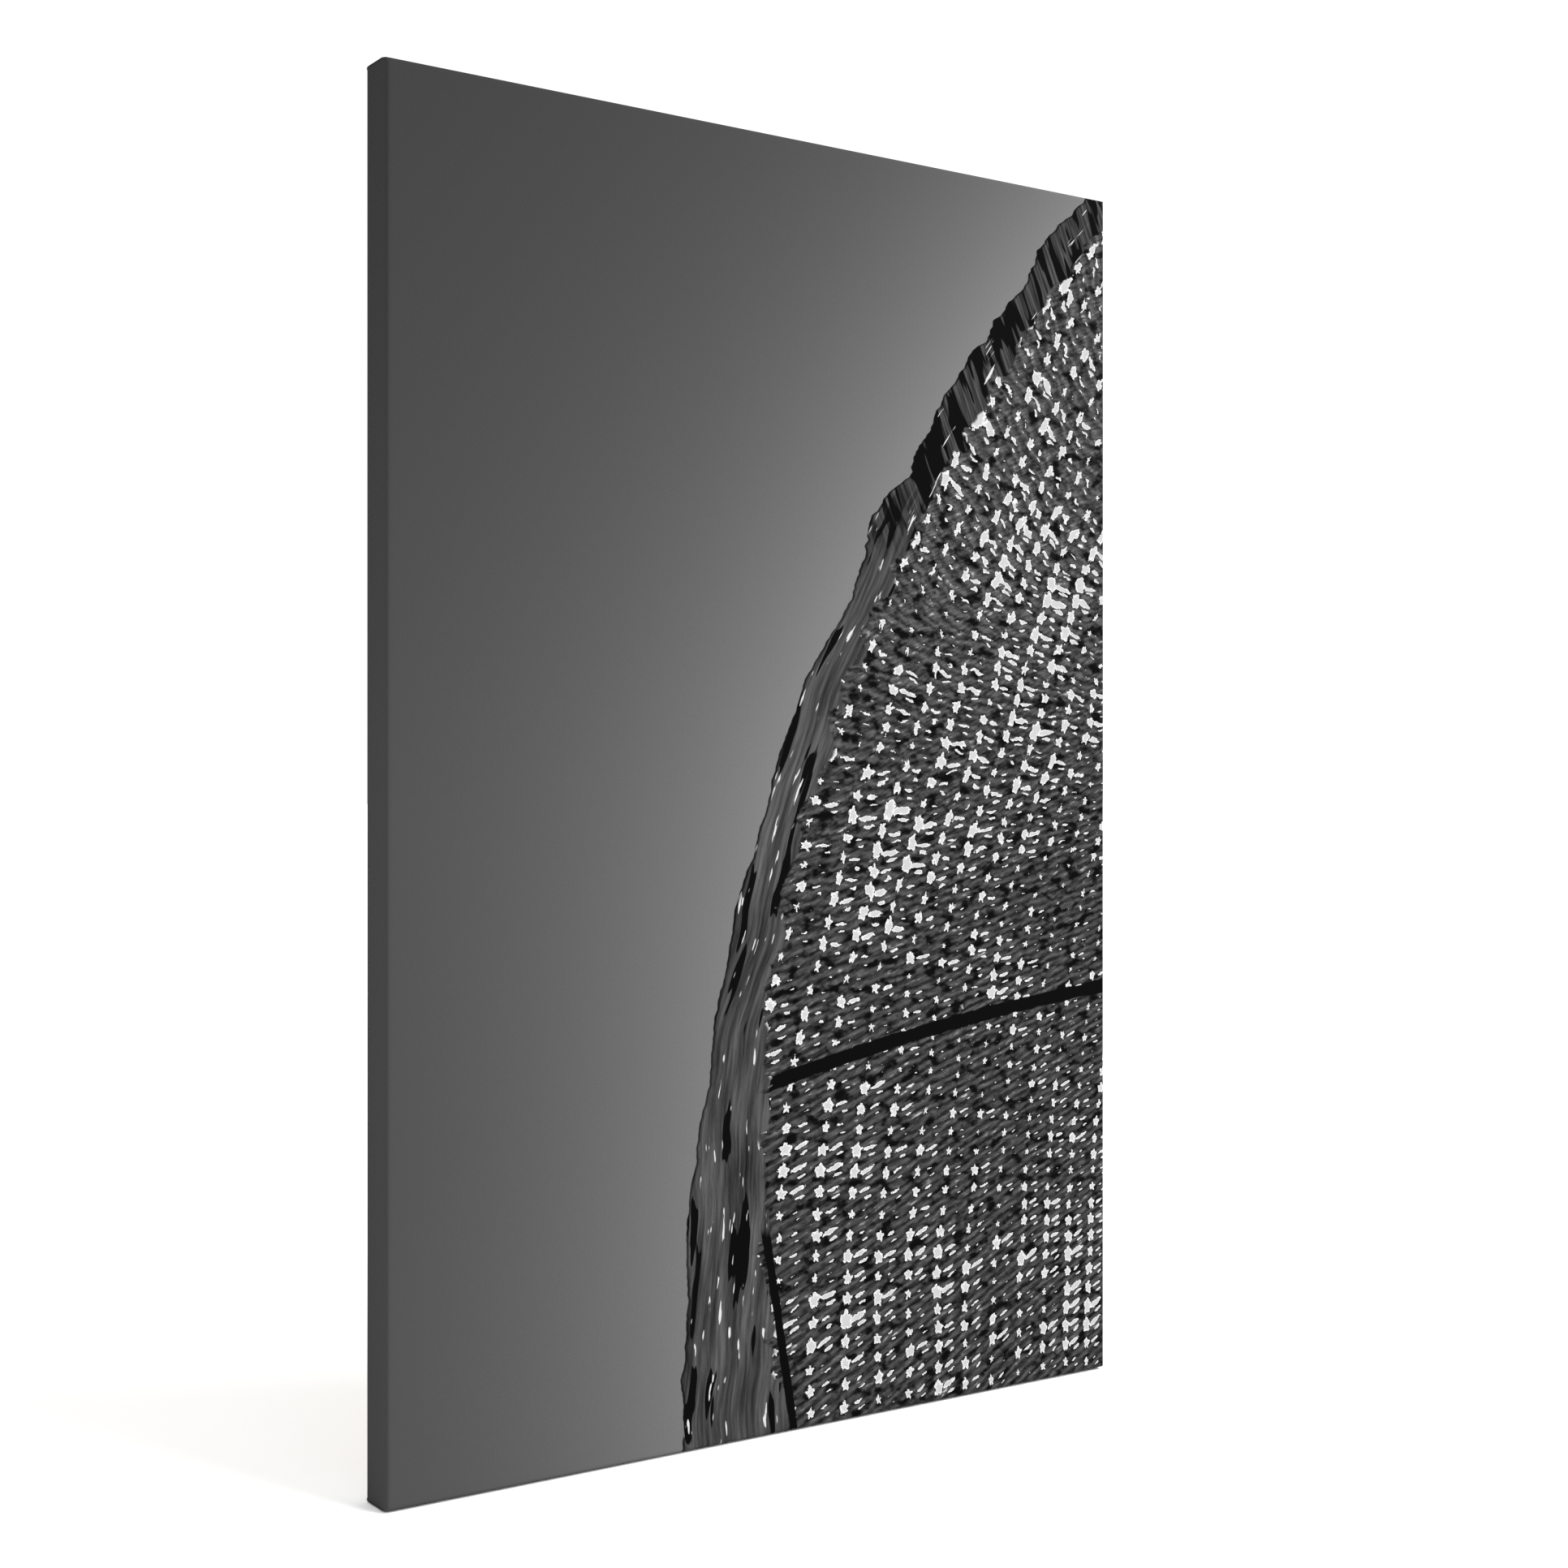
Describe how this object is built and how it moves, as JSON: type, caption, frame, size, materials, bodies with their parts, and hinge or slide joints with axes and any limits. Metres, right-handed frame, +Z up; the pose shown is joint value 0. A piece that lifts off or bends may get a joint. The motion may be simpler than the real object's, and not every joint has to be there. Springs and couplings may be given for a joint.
{
  "type": "stretched canvas",
  "caption": "Printed canvas wrapped round a keyed pine stretcher frame, stapled behind, with wedge keys in the corners and two swinging strap hangers.",
  "frame": {"origin": "middle of the bottom edge, on the cloth, half-way through the depth of the bars", "axes": "+X to the right of someone looking at the printed face, +Y towards the wall behind, +Z up"},
  "size_m": [0.401, 0.0241, 0.6009],
  "materials": {
    "printed_canvas": "matte woven cotton with a printed face",
    "pine": "planed, unfinished",
    "beech": "sawn, unfinished",
    "staple_wire": "galvanised",
    "plated_steel": "nickel plated",
    "felt": "pressed felt"
  },
  "bodies": {
    "frame": {"canvas": "printed_canvas", "bar_bottom": "pine", "bar_left": "pine", "bar_top": "pine", "bar_right": "pine", "staples_bottom": "staple_wire", "staples_left": "staple_wire", "staples_top": "staple_wire", "staples_right": "staple_wire", "hanger_strap_left": "plated_steel", "hanger_strap_right": "plated_steel", "hanger_screw_left": "plated_steel", "hanger_screw_right": "plated_steel", "bumper_left": "felt", "bumper_right": "felt"},
    "key_bottom_left_front": {"key_bottom_left_front": "beech"},
    "key_bottom_left_back": {"key_bottom_left_back": "beech"},
    "key_top_left_front": {"key_top_left_front": "beech"},
    "key_top_left_back": {"key_top_left_back": "beech"},
    "key_top_right_front": {"key_top_right_front": "beech"},
    "key_top_right_back": {"key_top_right_back": "beech"},
    "key_bottom_right_front": {"key_bottom_right_front": "beech"},
    "key_bottom_right_back": {"key_bottom_right_back": "beech"},
    "hanger_ring_left": {"hanger_ring_left": "plated_steel"},
    "hanger_ring_right": {"hanger_ring_right": "plated_steel"}
  },
  "joints": [
    {"name": "key_bottom_left_front_pull", "type": "slide", "parent": "frame", "child": "key_bottom_left_front", "axis": [1, 0, 0], "range_m": [0, 0.026]},
    {"name": "key_bottom_left_back_pull", "type": "slide", "parent": "frame", "child": "key_bottom_left_back", "axis": [0, 0, 1], "range_m": [0, 0.026]},
    {"name": "key_top_left_front_pull", "type": "slide", "parent": "frame", "child": "key_top_left_front", "axis": [0, 0, -1], "range_m": [0, 0.026]},
    {"name": "key_top_left_back_pull", "type": "slide", "parent": "frame", "child": "key_top_left_back", "axis": [1, 0, 0], "range_m": [0, 0.026]},
    {"name": "key_top_right_front_pull", "type": "slide", "parent": "frame", "child": "key_top_right_front", "axis": [-1, 0, 0], "range_m": [0, 0.026]},
    {"name": "key_top_right_back_pull", "type": "slide", "parent": "frame", "child": "key_top_right_back", "axis": [0, 0, -1], "range_m": [0, 0.026]},
    {"name": "key_bottom_right_front_pull", "type": "slide", "parent": "frame", "child": "key_bottom_right_front", "axis": [0, 0, 1], "range_m": [0, 0.026]},
    {"name": "key_bottom_right_back_pull", "type": "slide", "parent": "frame", "child": "key_bottom_right_back", "axis": [-1, 0, 0], "range_m": [0, 0.026]},
    {"name": "hanger_ring_left_swing", "type": "hinge", "parent": "frame", "child": "hanger_ring_left", "pos_m": [-0.169, 0.01185, 0.45045], "axis": [1, 0, 0], "range_deg": [0, 176]},
    {"name": "hanger_ring_right_swing", "type": "hinge", "parent": "frame", "child": "hanger_ring_right", "pos_m": [0.169, 0.01185, 0.45045], "axis": [1, 0, 0], "range_deg": [0, 176]}
  ]
}
